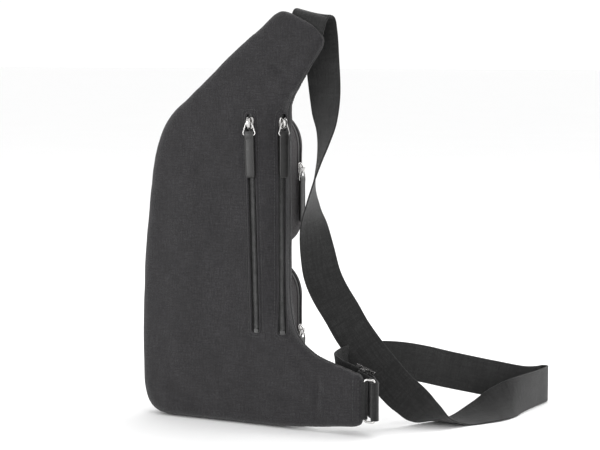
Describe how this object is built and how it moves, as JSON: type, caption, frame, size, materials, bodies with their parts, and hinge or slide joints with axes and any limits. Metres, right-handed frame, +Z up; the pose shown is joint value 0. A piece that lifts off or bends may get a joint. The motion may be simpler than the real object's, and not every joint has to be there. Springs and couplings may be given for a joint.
{
  "type": "sling bag",
  "caption": "Upright sling bag with a tapering neck and tail, long side zips, front pockets and one webbing shoulder strap.",
  "frame": {"origin": "on the floor under the middle of the bag without its strap", "axes": "+Z up, +X from the bag's straight side to its tail, back panel facing -Y"},
  "size_m": [0.3584, 0.2592, 0.4166],
  "materials": {
    "canvas": "tight plain weave, matt",
    "lining": "smooth",
    "foam": "closed-cell foam",
    "zip_tape": "woven tape",
    "zip_coil": "satin",
    "nickel": "polished",
    "leather": "semi-gloss, grained",
    "webbing": "ribbed weave"
  },
  "bodies": {
    "root": {"back_shell": "canvas", "front_shell": "canvas", "upper_pocket_face": "canvas", "upper_pocket_zip_band": "canvas", "upper_pocket_gusset": "canvas", "lower_pocket_face": "canvas", "lower_pocket_zip_band": "canvas", "lower_pocket_gusset": "canvas", "back_pad": "foam", "pocket_divider": "lining", "rear_zip_tape": "zip_tape", "rear_zip_coil": "zip_coil", "rear_zip_stop": "nickel", "main_zip_tape": "zip_tape", "main_zip_coil": "zip_coil", "main_zip_stop": "nickel", "upper_pocket_coil": "zip_coil", "lower_pocket_coil": "zip_coil", "tail_loop": "webbing", "strap_webbing": "webbing", "strap_adjuster": "nickel"},
    "rear_zip_slider": {"rear_zip_slider": "nickel"},
    "rear_zip_loop": {"rear_zip_loop": "nickel"},
    "rear_zip_tab": {"rear_zip_tab": "leather"},
    "main_zip_slider": {"main_zip_slider": "nickel"},
    "main_zip_loop": {"main_zip_loop": "nickel"},
    "main_zip_tab": {"main_zip_tab": "leather"},
    "upper_pocket_zip_slider": {"upper_pocket_zip_slider": "nickel"},
    "upper_pocket_zip_loop": {"upper_pocket_zip_loop": "nickel"},
    "upper_pocket_zip_tab": {"upper_pocket_zip_tab": "leather"},
    "lower_pocket_zip_slider": {"lower_pocket_zip_slider": "nickel"},
    "lower_pocket_zip_loop": {"lower_pocket_zip_loop": "nickel"},
    "lower_pocket_zip_tab": {"lower_pocket_zip_tab": "leather"},
    "tail_ring": {"tail_ring": "nickel"}
  },
  "joints": [
    {"name": "rear_zip_slide", "type": "slide", "parent": "root", "child": "rear_zip_slider", "axis": [0.0273, 0, -0.9996], "range_m": [0, 0.195]},
    {"name": "rear_zip_loop_swing", "type": "hinge", "parent": "rear_zip_slider", "child": "rear_zip_loop", "pos_m": [-0.00175, -0.0373, 0.30496], "axis": [-0.9996, 0, -0.0273], "range_deg": [0, 130]},
    {"name": "rear_zip_tab_swing", "type": "hinge", "parent": "rear_zip_loop", "child": "rear_zip_tab", "pos_m": [-0.0014, -0.0373, 0.29197], "axis": [-0.9996, 0, -0.0273], "range_deg": [0, 40]},
    {"name": "main_zip_slide", "type": "slide", "parent": "root", "child": "main_zip_slider", "axis": [0, 0, -1], "range_m": [0, 0.128]},
    {"name": "main_zip_loop_swing", "type": "hinge", "parent": "main_zip_slider", "child": "main_zip_loop", "pos_m": [0.03026, -0.02323, 0.305], "axis": [-0.3907, -0.9205, 0], "range_deg": [0, 130]},
    {"name": "main_zip_tab_swing", "type": "hinge", "parent": "main_zip_loop", "child": "main_zip_tab", "pos_m": [0.03026, -0.02323, 0.292], "axis": [-0.3907, -0.9205, 0], "range_deg": [0, 40]},
    {"name": "upper_pocket_zip_slide", "type": "slide", "parent": "root", "child": "upper_pocket_zip_slider", "axis": [0, 0, 1], "range_m": [0, 0.024]},
    {"name": "upper_pocket_zip_loop_swing", "type": "hinge", "parent": "upper_pocket_zip_slider", "child": "upper_pocket_zip_loop", "pos_m": [0.0241, 0.0278, 0.257], "axis": [0, -1, 0], "range_deg": [0, 130]},
    {"name": "upper_pocket_zip_tab_swing", "type": "hinge", "parent": "upper_pocket_zip_loop", "child": "upper_pocket_zip_tab", "pos_m": [0.0241, 0.0278, 0.244], "axis": [0, -1, 0], "range_deg": [0, 40]},
    {"name": "lower_pocket_zip_slide", "type": "slide", "parent": "root", "child": "lower_pocket_zip_slider", "axis": [0, 0, 1], "range_m": [0, 0.037]},
    {"name": "lower_pocket_zip_loop_swing", "type": "hinge", "parent": "lower_pocket_zip_slider", "child": "lower_pocket_zip_loop", "pos_m": [0.0241, 0.0278, 0.091], "axis": [0, -1, 0], "range_deg": [0, 130]},
    {"name": "lower_pocket_zip_tab_swing", "type": "hinge", "parent": "lower_pocket_zip_loop", "child": "lower_pocket_zip_tab", "pos_m": [0.0241, 0.0278, 0.078], "axis": [0, -1, 0], "range_deg": [0, 40]},
    {"name": "tail_ring_swing", "type": "hinge", "parent": "root", "child": "tail_ring", "pos_m": [0.12155, -0.0292, 0.036], "axis": [0, 0, 1], "range_deg": [-4, 4]}
  ]
}
